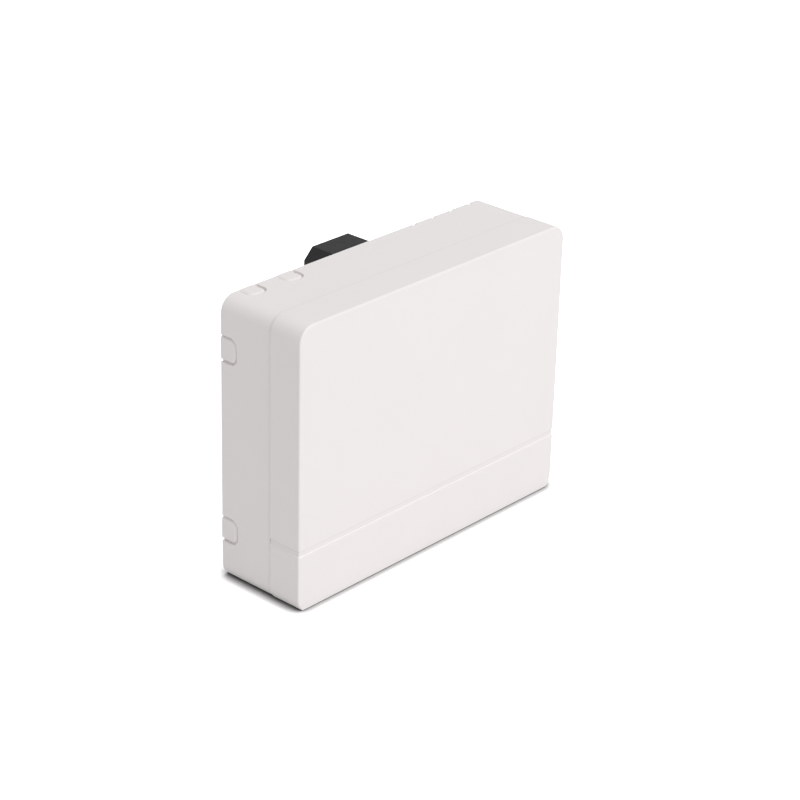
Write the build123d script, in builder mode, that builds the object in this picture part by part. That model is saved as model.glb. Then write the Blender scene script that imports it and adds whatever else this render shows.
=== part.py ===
from build123d import *
import os

os.makedirs("parts", exist_ok=True)

# The housing stands on its bottom at Z = 0, centred on X, with its front towards -Y.
# Depths inside the housing are measured forwards from its rear face.

# Housing, whose flat bottom cuts the lower corners short
width = 125.0
height = 98.3
depth = 35.0
corner_radius = 5.7
bottom_trim = 1.2
wall = 2.2
rear_round = 0.3
base_depth = 21.9
cover_wall = 2.0
cover_proud = 0.2
seam_gap = 0.15
seam_round = 0.15
front_round = 0.6

# Inner skirt of the covers
skirt_reach = 4.0
skirt_wall = 1.4
skirt_gap = 0.25
ledge = 1.8

# Split between the two covers: the lower one's rim steps back under the upper one's edge
split_height = 22.0
split_gap = 0.1
rim_step = 0.3
rim_height = 2.2
sill_wall = 1.6
sill_setback = 3.3

# Knock-outs around the base: pads with rounded edges, each in a D-shaped pocket
pocket_depth = 0.95
pocket_gap = 0.45
pad_round = 1.3
pad_corner = 2.6
side_pad_span = 8.4
side_pad_reach = 6.85
side_knockout_inset = 17.4
cord_pad_span = 7.2
cord_pad_reach = 6.5
cord_pocket_start = 0.6
cord_knockout_insets = (11.3, 27.6)

# Knock-outs at the top right: scored inside the wall, with a V-notch at each leg's end
score_width = 1.0
score_depth = 1.2
score_reach = 7.8
notch_depth = 1.0
notch_length = 1.2
notch_pitch = 9.3
notch_inset = 8.7
notch_count = 4

# Rail clip
clip_width = 24.4
clip_depth = 13.2
clip_low = 18.0
plate_thick = 4.7
plate_top = 80.5
hook_rear = 8.9
rail_middle = 43.0
rail_height = 35.0
rail_brim = 1.0
rail_gap = 0.3
hook_bite = 2.3

# Latch of the clip
channel_width = 16.0
channel_skin = 1.5
channel_depth = 2.0
throat_width = 11.2
channel_low = 46.0
latch_gap = 0.15
latch_low = 50.0
lip_width = 20.0
lip_height = 5.4
head_low = 84.0
head_top = 95.8
head_chamfer = 3.8
head_gap = 0.5
pull_width = 19.6
pull_front = 5.2
pull_rear = 11.2
pull_height = 9.4
window_width = 4.0
post_width = 3.4
post_low = 75.0
post_height = 3.0

# Latch spring
spring_diameter = 3.0
spring_wire = 0.45
spring_length = 12.0
spring_turns = 7

# Locating peg between the clip and the base
peg_radius = 2.0
peg_height = 72.0
peg_gap = 0.1

# Fibre adapters in a row above the bottom wall
adapter_count = 4
adapter_pitch = 15.2
adapter_width = 12.8
adapter_thick = 9.3
adapter_length = 29.0
adapter_low = 8.0
adapter_depth = 11.6
collar_margin = 0.9
collar_thick = 1.6
port_width = 9.2
port_thick = 7.4
key_width = 2.4
key_depth = 0.6
web_thick = 2.4
window_margin = 0.5

# Sleeves inside the adapters
holder_radius = 2.3
holder_length = 13.0
holder_flange_radius = 3.1
holder_flange_thick = 1.2
sleeve_radius = 1.6
sleeve_bore_radius = 1.25
sleeve_length = 11.4
sleeve_slit = 0.4
sleeve_gap = 0.05

# Dust caps
cap_gap = 0.1
cap_stub = 7.0
cap_bore_radius = 2.7
cap_head_margin = 0.6
cap_head_thick = 1.8
cap_grip_width = 7.0
cap_grip_thick = 2.6
cap_grip_length = 3.2

# Comb and retainer of the adapters
comb_rib = 1.6
comb_gap = 0.15
slot_gap = 0.2
retainer_thick = 2.4
retainer_boss_offset = 7.2
retainer_radius = 3.4

# Fibre guides and splice holder
guide_offset = 27.0
guide_height = 66.0
guide_radius = 21.0
guide_rib = 1.4
guide_tall = 12.0
guide_tab_width = 4.0
guide_tab_reach = 4.5
guide_tab_thick = 1.2
guide_tab_count = 3
guide_tab_sweep = 120.0
splice_width = 30.0
splice_tall = 26.0
splice_plate = 1.5
comb_fingers = 7
finger_thick = 1.0
finger_pitch = 3.8
finger_length = 10.0
finger_tall = 5.2
finger_spread = 18.0
stud_radius = 1.5
stud_spread = 8.0
stud_gap = 0.1

# Cable clamps
clamp_inset = 16.5
clamp_height = 17.4
clamp_width = 7.0
clamp_length = 22.0
clamp_thick = 3.0
clamp_lift = 5.0
clamp_screw_spread = 15.0
cable_radius = 3.3

# Screws and their bosses
screw_radius = 1.1
screw_head_radius = 2.1
screw_head = 1.5
screw_length = 9.0
screw_gap = 0.05
pilot_spare = 0.5
boss_radius = 2.6
clip_screw_radius = 1.45
clip_screw_head_radius = 2.8
clip_screw_head = 1.9
clip_screw_spread = 15.0
clip_screw_height = 36.0
clip_screw_skin = 0.6
recess_width = 0.6
recess_depth = 0.7

# Wall fixing holes, this far in from the housing's sides and ends
fixing_radius = 2.2
fixing_inset_x = 8.5
fixing_inset_z = 9.65

# Places worked out from the sizes above
rear_y = (depth - clip_depth) / 2
base_side = width / 2 - cover_proud
base_height = height - cover_proud
base_inset = cover_proud + wall
cover_depth = base_depth + seam_gap
cover_inside = depth - cover_wall
skirt_inset = base_inset + skirt_gap
main_low = split_height + split_gap / 2
lower_top = split_height - split_gap / 2
rail_low = rail_middle - rail_height / 2
rail_high = rail_middle + rail_height / 2
brim_slot = plate_thick + rail_brim + rail_gap
adapter_middle = adapter_low + adapter_length / 2
collar_width = adapter_width + 2 * collar_margin
collar_depth = adapter_thick + 2 * collar_margin
comb_front = adapter_depth + collar_depth / 2 + comb_gap
row_width = (adapter_count - 1) * adapter_pitch + collar_width
retainer_boss = row_width / 2 + retainer_boss_offset - collar_margin
post_high = post_low + post_height
spring_low = post_low - spring_length
clamp_offset = width / 2 - clamp_inset
fixing_x = width / 2 - fixing_inset_x
side_knockout_heights = (side_knockout_inset, height - side_knockout_inset)
cord_knockout_spots = [inset - width / 2 for inset in cord_knockout_insets]
notch_spots = [width / 2 - notch_inset - index * notch_pitch for index in range(notch_count)]


def at_depth(distance):
    """The plane that lies this far in front of the housing's rear face, facing forwards."""
    return Plane.XZ.offset(distance - rear_y)


def housing_outline(inset, floor=0.0):
    """The upright outline of the housing drawn this far inside the covers', flat at floor."""
    with BuildSketch() as outline:
        with Locations((0, (height - bottom_trim) / 2)):
            RectangleRounded(width - 2 * inset, height + bottom_trim - 2 * inset, corner_radius - inset)
        with Locations((0, floor - height / 2)):
            Rectangle(2 * width, height, mode=Mode.SUBTRACT)
    return outline.sketch


def knockout_outline(span, reach, corner, start):
    """A D that starts this far in front of the rear edge, rounded at its front corners."""
    with BuildSketch() as outline:
        with Locations((0, (reach + start) / 2)):
            Rectangle(span, reach - start)
        fillet(outline.vertices().group_by(Axis.Y)[-1], corner)
    return outline.sketch


def knockout_pad(face, span, reach):
    """The pad of one knock-out on an outer face, as thick as the wall, its outline rounded over."""
    with BuildPart() as pad:
        with BuildSketch(face):
            add(knockout_outline(span, reach, pad_corner, 0))
        extrude(amount=-wall)
        rim = pad.faces().sort_by(Axis(face.origin, face.z_dir))[-1].edges()
        fillet(rim.sort_by(Axis.Y)[:-1], pad_round)
    return pad.part


def top_wall(x):
    """The plane on the base's top wall with its origin on the rear edge and local Y forwards."""
    return Plane(origin=(x, rear_y, base_height), x_dir=(-1, 0, 0), z_dir=(0, 0, 1))


def side_wall(side, z):
    """The plane on a side wall of the base, side -1 or 1, laid out like the top wall's."""
    return Plane(origin=(side * base_side, rear_y, z), x_dir=(0, 0, side), z_dir=(side, 0, 0))


def knockout_pocket(face, span, reach, start):
    """The pocket round a knock-out's pad, as a cutter, from start in front of the rear edge."""
    with BuildPart() as pocket:
        with BuildSketch(face):
            add(knockout_outline(span + 2 * pocket_gap, reach + pocket_gap, pad_corner + pocket_gap, start))
        extrude(amount=-pocket_depth)
    return pocket.part


def front_blank():
    """The whole front of the housing as one hollow shell, before it is split in two."""
    with BuildPart() as blank:
        with BuildSketch(at_depth(cover_depth)):
            add(housing_outline(0))
        extrude(amount=depth - cover_depth)
        fillet(blank.faces().sort_by(Axis.Y)[0].edges(), front_round)
        fillet(blank.faces().sort_by(Axis.Y)[-1].edges(), seam_round)
        with BuildSketch(at_depth(cover_depth + ledge)):
            add(housing_outline(cover_wall, cover_wall))
        extrude(amount=cover_inside - cover_depth - ledge, mode=Mode.SUBTRACT)
        with BuildSketch(at_depth(base_depth - skirt_reach)):
            add(housing_outline(skirt_inset, skirt_inset))
        extrude(amount=skirt_reach + seam_gap + ledge / 2)
        with BuildSketch(at_depth(base_depth - skirt_reach)):
            add(housing_outline(skirt_inset + skirt_wall, skirt_inset + skirt_wall))
        extrude(amount=skirt_reach + seam_gap + ledge, mode=Mode.SUBTRACT)
    return blank.part


def tapping_screws(seat, spots, shank_radius, head_radius, head, length):
    """Round-headed screws: heads in front of the plane seat, shanks behind it."""
    with BuildPart() as screws:
        with BuildSketch(seat):
            with Locations(*spots):
                Circle(head_radius)
        extrude(amount=head)
        fillet(screws.edges().group_by(Axis.Y)[0], head / 3)
        with BuildSketch(seat):
            with Locations(*spots):
                Circle(shank_radius)
        extrude(amount=-length)
        with BuildSketch(seat.offset(head)):
            with Locations(*spots):
                Rectangle(head_radius, recess_width)
                Rectangle(recess_width, head_radius)
        extrude(amount=-recess_depth, mode=Mode.SUBTRACT)
    return screws


def adapter_spots():
    """Where the adapters stand along X."""
    first = -(adapter_count - 1) * adapter_pitch / 2
    return [first + index * adapter_pitch for index in range(adapter_count)]


def above(x, z):
    """The level plane at height z with its origin on an adapter's centre line."""
    return Plane(origin=(x, rear_y - adapter_depth, z), x_dir=(1, 0, 0), z_dir=(0, 0, 1))


def below(x, z):
    """The same plane facing down."""
    return Plane(origin=(x, rear_y - adapter_depth, z), x_dir=(1, 0, 0), z_dir=(0, 0, -1))


clamp_screw_spots = {
    side: [(side * clamp_offset, clamp_height + end * clamp_screw_spread / 2) for end in (-1, 1)]
    for side in (-1, 1)
}
retainer_spots = [(side * retainer_boss, adapter_middle) for side in (-1, 1)]
clip_screw_spots = [(side * clip_screw_spread / 2, clip_screw_height) for side in (-1, 1)]
stud_spots = [(0, guide_height + end * stud_spread) for end in (-1, 1)]

side_faces = [side_wall(side, spot) for spot in side_knockout_heights for side in (-1, 1)]
cord_faces = [top_wall(spot) for spot in cord_knockout_spots]

# Base: a rounded tray, open at the front
with BuildPart() as base_shell:
    with BuildSketch(at_depth(0)):
        add(housing_outline(cover_proud))
    extrude(amount=base_depth)
    fillet(base_shell.faces().sort_by(Axis.Y)[-1].edges(), rear_round)
    with BuildSketch(at_depth(wall)):
        add(housing_outline(base_inset, wall))
    extrude(amount=base_depth - wall, mode=Mode.SUBTRACT)

    # Knock-outs for cables on both sides, open at the rear edge, and for cords at the top left
    for face in side_faces:
        add(knockout_pocket(face, side_pad_span, side_pad_reach, -rear_round), mode=Mode.SUBTRACT)
        add(knockout_pad(face, side_pad_span, side_pad_reach))
    for face in cord_faces:
        add(knockout_pocket(face, cord_pad_span, cord_pad_reach, cord_pocket_start), mode=Mode.SUBTRACT)
        add(knockout_pad(face, cord_pad_span, cord_pad_reach))

    # Knock-outs at the top right: V-notches in the rear edge and score lines inside the wall
    with BuildSketch(at_depth(0)):
        with Locations(*[(spot, base_height) for spot in notch_spots]):
            RegularPolygon(notch_depth, 4)
    extrude(amount=notch_length, mode=Mode.SUBTRACT)
    with BuildSketch(Plane.XY.offset(base_height - wall)):
        for right, left in (notch_spots[:2], notch_spots[2:]):
            with Locations(((right + left) / 2, rear_y - (wall + score_reach) / 2)):
                Rectangle(right - left + score_width, score_reach - wall)
                Rectangle(right - left - score_width, score_reach - wall - 2 * score_width,
                          mode=Mode.SUBTRACT)
    extrude(amount=score_depth, mode=Mode.SUBTRACT)

    # Comb of two slotted ribs that takes the collars of the adapters
    rib_low = adapter_middle - collar_thick / 2 - comb_gap - comb_rib
    rib_high = adapter_middle + collar_thick / 2 + comb_gap
    slot_back = adapter_depth - adapter_thick / 2 - slot_gap
    for level in (rib_low, rib_high):
        with BuildSketch(Plane.XY.offset(level)):
            with Locations((0, rear_y - (wall + comb_front) / 2)):
                Rectangle(row_width + 2 * comb_rib, comb_front - wall)
            with Locations(*[(x, rear_y - (slot_back + comb_front) / 2) for x in adapter_spots()]):
                Rectangle(adapter_width + 2 * slot_gap, comb_front - slot_back, mode=Mode.SUBTRACT)
        extrude(amount=comb_rib)

    # Windows under the adapters for the plugs
    with BuildSketch(Plane.XY):
        with Locations(*[(x, rear_y - adapter_depth) for x in adapter_spots()]):
            Rectangle(adapter_width + 2 * window_margin, adapter_thick + 2 * window_margin)
    extrude(amount=wall, mode=Mode.SUBTRACT)

    # Half-round fibre guides with their retaining tabs
    with BuildSketch(at_depth(wall)):
        with Locations((-guide_offset, guide_height), (guide_offset, guide_height)):
            Circle(guide_radius)
            Circle(guide_radius - guide_rib, mode=Mode.SUBTRACT)
        with Locations((0, guide_height)):
            Rectangle(2 * guide_offset, 3 * guide_radius, mode=Mode.SUBTRACT)
    extrude(amount=guide_tall)
    with BuildSketch(at_depth(wall + guide_tall - guide_tab_thick)):
        tab_radius = guide_radius + (guide_tab_reach - guide_rib) / 2
        for side, outwards in ((-1, 180), (1, 0)):
            with Locations((side * guide_offset, guide_height)):
                with PolarLocations(tab_radius, guide_tab_count, outwards - guide_tab_sweep / 2,
                                    guide_tab_sweep, endpoint=True):
                    Rectangle(guide_tab_reach, guide_tab_width)
    extrude(amount=guide_tab_thick)

    # Bosses for the retainer, the cable clamps and studs for the splice holder
    with BuildSketch(at_depth(wall)):
        with Locations(*retainer_spots):
            Circle(boss_radius)
    extrude(amount=comb_front - wall)
    with BuildSketch(at_depth(wall)):
        with Locations(*clamp_screw_spots[-1], *clamp_screw_spots[1]):
            Circle(boss_radius)
    extrude(amount=clamp_lift)
    with BuildSketch(at_depth(wall)):
        with Locations(*stud_spots):
            Circle(stud_radius)
    extrude(amount=splice_plate + stud_radius)
    with BuildSketch(at_depth(comb_front)):
        with Locations(*retainer_spots):
            Circle(screw_radius + screw_gap)
    extrude(amount=-(screw_length - retainer_thick + pilot_spare), mode=Mode.SUBTRACT)
    with BuildSketch(at_depth(wall + clamp_lift)):
        with Locations(*clamp_screw_spots[-1], *clamp_screw_spots[1]):
            Circle(screw_radius + screw_gap)
    extrude(amount=-(screw_length - clamp_thick + pilot_spare), mode=Mode.SUBTRACT)

    # Holes through the back wall: clip screws, locating peg and wall fixing
    with BuildSketch(at_depth(0)):
        with Locations(*clip_screw_spots):
            Circle(clip_screw_radius + screw_gap)
        with Locations((0, peg_height)):
            Circle(peg_radius + peg_gap)
        with Locations(*[(side * fixing_x, z) for side in (-1, 1)
                         for z in (fixing_inset_z, height - fixing_inset_z)]):
            Circle(fixing_radius)
    extrude(amount=wall, mode=Mode.SUBTRACT)
base_shell.part.label = "base_shell"
export_step(base_shell.part, "parts/base_shell.step")

# Main cover: the front above the split, closed along its lower edge by a sill
with BuildPart() as main_cover:
    add(front_blank())
    split(bisect_by=Plane.XY.offset(main_low), keep=Keep.TOP)
    sill_start = cover_depth + sill_setback
    with BuildSketch(Plane.XY.offset(main_low)):
        with Locations((0, rear_y - (sill_start + depth - cover_wall / 2) / 2)):
            Rectangle(width - cover_wall, depth - cover_wall / 2 - sill_start)
    extrude(amount=sill_wall)
main_cover.part.label = "main_cover"
export_step(main_cover.part, "parts/main_cover.step")

# Lower cover: the front below the split, its rim stepped back over a sloped shoulder
with BuildPart() as rim_cut:
    shoulder = lower_top - rim_height
    with BuildSketch(Plane.XY.offset(shoulder)):
        with Locations((0, rear_y - depth / 2)):
            Rectangle(2 * width, 2 * depth)
    extrude(amount=rim_height)
    with BuildSketch(Plane.XY.offset(shoulder)):
        with Locations((0, rear_y - depth / 2)):
            RectangleRounded(width, depth, front_round)
    extrude(amount=rim_step, taper=45, mode=Mode.SUBTRACT)
    with BuildSketch(Plane.XY.offset(shoulder + rim_step)):
        with Locations((0, rear_y - depth / 2)):
            RectangleRounded(width - 2 * rim_step, depth - 2 * rim_step, front_round - rim_step)
    extrude(amount=rim_height - rim_step, mode=Mode.SUBTRACT)

with BuildPart() as lower_cover:
    add(front_blank())
    split(bisect_by=Plane.XY.offset(lower_top), keep=Keep.BOTTOM)
    add(rim_cut.part, mode=Mode.SUBTRACT)
lower_cover.part.label = "lower_cover"
export_step(lower_cover.part, "parts/lower_cover.step")

# Rail clip: a plate with a fixed hook at its foot and a T-slot for the latch
with BuildPart() as din_clip:
    with BuildSketch(at_depth(0)):
        with Locations((0, (clip_low + plate_top) / 2)):
            Rectangle(clip_width, plate_top - clip_low)
    extrude(amount=-plate_thick)
    hook_high = rail_low + hook_bite
    hook_front = rear_y + plate_thick / 2
    slot_rear = rear_y + brim_slot
    hook_back = rear_y + hook_rear
    with BuildSketch(Plane.YZ.offset(-clip_width / 2)):
        with BuildLine():
            Polyline(
                (hook_front, clip_low),
                (hook_back - hook_bite, clip_low),
                (hook_back, clip_low + hook_bite),
                (hook_back, hook_high - rail_brim),
                (hook_back - rail_brim, hook_high),
                (slot_rear, hook_high),
                (slot_rear, rail_low - rail_gap),
                (hook_front, rail_low - rail_gap),
                close=True,
            )
        make_face()
    extrude(amount=clip_width)
    with BuildSketch(at_depth(-channel_skin)):
        with Locations((0, (channel_low + plate_top) / 2)):
            Rectangle(channel_width, plate_top - channel_low)
    extrude(amount=-channel_depth, mode=Mode.SUBTRACT)
    with BuildSketch(at_depth(-channel_skin - channel_depth)):
        with Locations((0, (channel_low + plate_top) / 2)):
            Rectangle(throat_width, plate_top - channel_low)
    extrude(amount=-(plate_thick - channel_skin - channel_depth), mode=Mode.SUBTRACT)
    with BuildSketch(at_depth(-channel_skin)):
        with Locations((0, (post_low + post_high) / 2)):
            Rectangle(post_width, post_height)
    extrude(amount=-(plate_thick - channel_skin))
    with BuildSketch(at_depth(0)):
        with Locations((0, peg_height)):
            Circle(peg_radius)
    extrude(amount=wall - latch_gap)
    with BuildSketch(at_depth(0)):
        with Locations(*clip_screw_spots):
            Circle(clip_screw_radius + screw_gap)
    extrude(amount=-(plate_thick - clip_screw_skin), mode=Mode.SUBTRACT)
din_clip.part.label = "din_clip"
export_step(din_clip.part, "parts/din_clip.step")

# Latch: a stem in the T-slot, a lip over the rail's upper brim and a pull head at the top
with BuildPart() as din_latch:
    stem_middle = (latch_low + head_low) / 2
    stem_length = head_low - latch_low
    neck_rear = plate_thick + latch_gap
    with BuildSketch(at_depth(-channel_skin - latch_gap)):
        with Locations((0, stem_middle)):
            Rectangle(channel_width - 2 * latch_gap, stem_length)
    extrude(amount=-(channel_depth - 2 * latch_gap))
    with BuildSketch(at_depth(-channel_skin - latch_gap)):
        with Locations((0, stem_middle)):
            Rectangle(throat_width - 2 * latch_gap, stem_length)
    extrude(amount=-(plate_thick - channel_skin - 2 * latch_gap))
    lip_low = rail_high - hook_bite
    lip_seat = rail_high + rail_gap
    lip_top = lip_seat + lip_height
    lip_rear = rear_y + hook_rear
    with BuildSketch(Plane.YZ.offset(-lip_width / 2)):
        with BuildLine():
            Polyline(
                (rear_y + neck_rear, lip_seat),
                (rear_y + brim_slot, lip_seat),
                (rear_y + brim_slot, lip_low + rail_brim),
                (rear_y + brim_slot + rail_brim, lip_low),
                (lip_rear, lip_seat),
                (lip_rear, lip_top - hook_bite),
                (lip_rear - hook_bite, lip_top),
                (rear_y + neck_rear, lip_top),
                close=True,
            )
        make_face()
    extrude(amount=lip_width)
    with BuildSketch(at_depth(-channel_skin - channel_depth)):
        with Locations((0, (lip_seat + lip_top) / 2)):
            Rectangle(throat_width - 2 * latch_gap, lip_top - lip_seat)
    extrude(amount=-(brim_slot - channel_skin - channel_depth))
    with BuildSketch(at_depth(-head_gap)):
        with BuildLine():
            Polyline(
                (-clip_width / 2, head_low),
                (-clip_width / 2, head_top - head_chamfer),
                (-clip_width / 2 + head_chamfer, head_top),
                (clip_width / 2 - head_chamfer, head_top),
                (clip_width / 2, head_top - head_chamfer),
                (clip_width / 2, head_low),
                close=True,
            )
        make_face()
    extrude(amount=-(clip_depth - head_gap))
    with BuildSketch(Plane.XY.offset(head_low)):
        with Locations((0, rear_y + (pull_front + pull_rear) / 2)):
            RectangleRounded(pull_width, pull_rear - pull_front, rail_brim)
    extrude(amount=pull_height, mode=Mode.SUBTRACT)
    window_high = post_high + latch_gap
    with BuildSketch(at_depth(-channel_skin)):
        with Locations((0, (spring_low + window_high) / 2)):
            Rectangle(window_width, window_high - spring_low)
    extrude(amount=-(plate_thick - channel_skin), mode=Mode.SUBTRACT)
din_latch.part.label = "din_latch"
export_step(din_latch.part, "parts/din_latch.step")

# Latch spring: a round-wire helix between the clip's post and the foot of the latch's window
with BuildPart() as latch_spring:
    coil_radius = (spring_diameter - spring_wire) / 2
    spring_y = rear_y + channel_skin + spring_diameter / 2 + latch_gap
    coil_length = spring_length - spring_wire - 2 * latch_gap
    with BuildLine() as coil:
        Helix(
            pitch=coil_length / spring_turns,
            height=coil_length,
            radius=coil_radius,
            center=(0, spring_y, spring_low + latch_gap + spring_wire / 2),
        )
    with BuildSketch(Plane(origin=coil.line @ 0, z_dir=coil.line % 0)):
        Circle(spring_wire / 2)
    sweep(is_frenet=True)
latch_spring.part.label = "latch_spring"
export_step(latch_spring.part, "parts/latch_spring.step")

# Adapters with their sleeves and dust caps
for index, x in enumerate(adapter_spots(), start=1):
    port_depth = (adapter_length - web_thick) / 2
    adapter_top = adapter_low + adapter_length
    web_top = adapter_middle + web_thick / 2

    with BuildPart() as sc_adapter:
        with BuildSketch(above(x, adapter_low)):
            RectangleRounded(adapter_width, adapter_thick, collar_margin)
        extrude(amount=adapter_length)
        with BuildSketch(above(x, adapter_middle - collar_thick / 2)):
            Rectangle(collar_width, collar_depth)
        extrude(amount=collar_thick)
        for mouth in (below(x, adapter_low), above(x, adapter_top)):
            with BuildSketch(mouth):
                Rectangle(port_width, port_thick)
            extrude(amount=-port_depth, mode=Mode.SUBTRACT)
        with BuildSketch(above(x, adapter_low)):
            with Locations((0, -port_thick / 2)):
                Rectangle(key_width, 2 * key_depth)
        extrude(amount=port_depth, mode=Mode.SUBTRACT)
        with BuildSketch(above(x, adapter_middle - web_thick / 2)):
            Circle(holder_radius + sleeve_gap)
        extrude(amount=web_thick, mode=Mode.SUBTRACT)
    sc_adapter.part.label = f"sc_adapter_{index}"
    export_step(sc_adapter.part, f"parts/sc_adapter_{index}.step")

    with BuildPart() as sleeve_holder:
        with BuildSketch(above(x, adapter_middle - holder_length / 2)):
            Circle(holder_radius)
            Circle(sleeve_radius + sleeve_gap, mode=Mode.SUBTRACT)
        extrude(amount=holder_length)
        with BuildSketch(above(x, web_top)):
            Circle(holder_flange_radius)
            Circle(sleeve_radius + sleeve_gap, mode=Mode.SUBTRACT)
        extrude(amount=holder_flange_thick)
    sleeve_holder.part.label = f"sleeve_holder_{index}"
    export_step(sleeve_holder.part, f"parts/sleeve_holder_{index}.step")

    with BuildPart() as alignment_sleeve:
        with BuildSketch(above(x, adapter_middle - sleeve_length / 2)):
            Circle(sleeve_radius)
            Circle(sleeve_bore_radius, mode=Mode.SUBTRACT)
            with Locations((0, -sleeve_radius)):
                Rectangle(sleeve_slit, sleeve_radius, mode=Mode.SUBTRACT)
        extrude(amount=sleeve_length)
    alignment_sleeve.part.label = f"alignment_sleeve_{index}"
    export_step(alignment_sleeve.part, f"parts/alignment_sleeve_{index}.step")

    for cap_name, mouth in (("dust_cap", below(x, adapter_low)), ("inner_cap", above(x, adapter_top))):
        with BuildPart() as cap:
            with BuildSketch(mouth):
                Rectangle(port_width - 2 * cap_gap, port_thick - 2 * cap_gap)
                Circle(cap_bore_radius, mode=Mode.SUBTRACT)
            extrude(amount=-cap_stub)
            with BuildSketch(mouth):
                RectangleRounded(adapter_width - 2 * cap_head_margin, adapter_thick - 2 * cap_head_margin,
                                 cap_head_margin)
            extrude(amount=cap_head_thick)
            with BuildSketch(mouth.offset(cap_head_thick)):
                Rectangle(cap_grip_width, cap_grip_thick)
            extrude(amount=cap_grip_length)
        cap.part.label = f"{cap_name}_{index}"
        export_step(cap.part, f"parts/{cap_name}_{index}.step")

# Retainer: a bar across the comb, screwed to a boss at each end
with BuildPart() as adapter_retainer:
    with BuildSketch(at_depth(comb_front)):
        with Locations((0, adapter_middle)):
            SlotCenterToCenter(2 * retainer_boss, 2 * retainer_radius)
        with Locations(*retainer_spots):
            Circle(screw_radius + screw_gap, mode=Mode.SUBTRACT)
    extrude(amount=retainer_thick)
adapter_retainer.part.label = "adapter_retainer"
export_step(adapter_retainer.part, "parts/adapter_retainer.step")

retainer_screws = tapping_screws(
    at_depth(comb_front + retainer_thick), retainer_spots, screw_radius, screw_head_radius, screw_head,
    screw_length)
retainer_screws.part.label = "retainer_screws"
export_step(retainer_screws.part, "parts/retainer_screws.step")

# Splice holder: a plate with two columns of fingers, on two studs of the base
with BuildPart() as splice_holder:
    with BuildSketch(at_depth(wall)):
        with Locations((0, guide_height)):
            RectangleRounded(splice_width, splice_tall, stud_radius)
        with Locations(*stud_spots):
            Circle(stud_radius + stud_gap, mode=Mode.SUBTRACT)
    extrude(amount=splice_plate)
    with BuildSketch(at_depth(wall + splice_plate)):
        with Locations((0, guide_height)):
            with GridLocations(finger_spread + stud_radius, finger_pitch, 2, comb_fingers):
                Rectangle(finger_length, finger_thick)
    extrude(amount=finger_tall)
splice_holder.part.label = "splice_holder"
export_step(splice_holder.part, "parts/splice_holder.step")

# Cable clamps: saddle bars on two bosses each
for side, hand in ((-1, "left"), (1, "right")):
    bar_depth = wall + clamp_lift
    with BuildPart() as cable_clamp:
        with BuildSketch(at_depth(bar_depth)):
            with Locations((side * clamp_offset, clamp_height)):
                SlotOverall(clamp_length, clamp_width, rotation=90)
            with Locations(*clamp_screw_spots[side]):
                Circle(screw_radius + screw_gap, mode=Mode.SUBTRACT)
        extrude(amount=clamp_thick)
        with BuildSketch(Plane.YZ.offset(side * clamp_offset - clamp_width / 2)):
            with Locations((rear_y - wall - cable_radius, clamp_height)):
                Circle(cable_radius)
        extrude(amount=clamp_width, mode=Mode.SUBTRACT)
    cable_clamp.part.label = f"cable_clamp_{hand}"
    export_step(cable_clamp.part, f"parts/cable_clamp_{hand}.step")

    clamp_screws = tapping_screws(
        at_depth(bar_depth + clamp_thick), clamp_screw_spots[side], screw_radius, screw_head_radius,
        screw_head, screw_length)
    clamp_screws.part.label = f"clamp_screws_{hand}"
    export_step(clamp_screws.part, f"parts/clamp_screws_{hand}.step")

# Clip screws, driven from inside the base into the clip
clip_screws = tapping_screws(
    at_depth(wall), clip_screw_spots, clip_screw_radius, clip_screw_head_radius, clip_screw_head,
    wall + plate_thick - 2 * clip_screw_skin)
clip_screws.part.label = "clip_screws"
export_step(clip_screws.part, "parts/clip_screws.step")
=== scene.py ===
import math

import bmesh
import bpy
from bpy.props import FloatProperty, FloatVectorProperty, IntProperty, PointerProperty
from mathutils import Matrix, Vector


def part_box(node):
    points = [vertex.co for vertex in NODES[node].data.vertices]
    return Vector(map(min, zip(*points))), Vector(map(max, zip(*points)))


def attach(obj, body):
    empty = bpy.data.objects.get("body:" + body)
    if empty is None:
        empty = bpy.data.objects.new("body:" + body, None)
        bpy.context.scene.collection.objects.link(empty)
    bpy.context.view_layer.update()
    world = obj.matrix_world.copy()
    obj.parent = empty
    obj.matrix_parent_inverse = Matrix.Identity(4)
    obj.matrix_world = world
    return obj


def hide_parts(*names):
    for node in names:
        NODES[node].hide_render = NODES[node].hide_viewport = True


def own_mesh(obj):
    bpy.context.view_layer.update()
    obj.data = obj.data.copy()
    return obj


bl_info = {
    "name": "Rail Fibre Box",
    "version": (1, 0, 0),
    "blender": (4, 5, 0),
    "location": "3D View > Sidebar > Fibre Box",
    "description": "Finishes a fibre box on a rail clip: moulded plastics, spring, screws and studio",
    "category": "Object",
}

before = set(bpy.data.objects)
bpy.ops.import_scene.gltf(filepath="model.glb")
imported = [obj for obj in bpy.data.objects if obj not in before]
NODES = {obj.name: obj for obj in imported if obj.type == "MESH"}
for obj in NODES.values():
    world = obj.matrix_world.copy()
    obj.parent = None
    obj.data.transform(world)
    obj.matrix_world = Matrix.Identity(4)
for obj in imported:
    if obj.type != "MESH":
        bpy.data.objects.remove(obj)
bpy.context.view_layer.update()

HOUSING = "housing"
ADAPTERS = range(1, 5)


def low_corner(node):
    """The lowest corner of a CAD node's box."""
    return Vector(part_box(node)[0])


def high_corner(node):
    """The highest corner of a CAD node's box."""
    return Vector(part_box(node)[1])


REAR_Y = high_corner("base_shell").y

# Painted shade on the lower cover's rim above its slope, darkest under the main cover's edge, as (share of
# the rim's height, factor), and the painted shade low on the rim
RIM_PAINTED_SHADE = ((0.72, 0.98), (0.8, 0.945))
RIM_LOW_PAINTED_SHADE = 0.985
# Painted highlight on the slope under the rim, as a factor, and the share of the rim's height over which a
# tone changes
SLOPE_PAINTED_HIGHLIGHT = 1.05
TONE_STEP = 0.02

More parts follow.
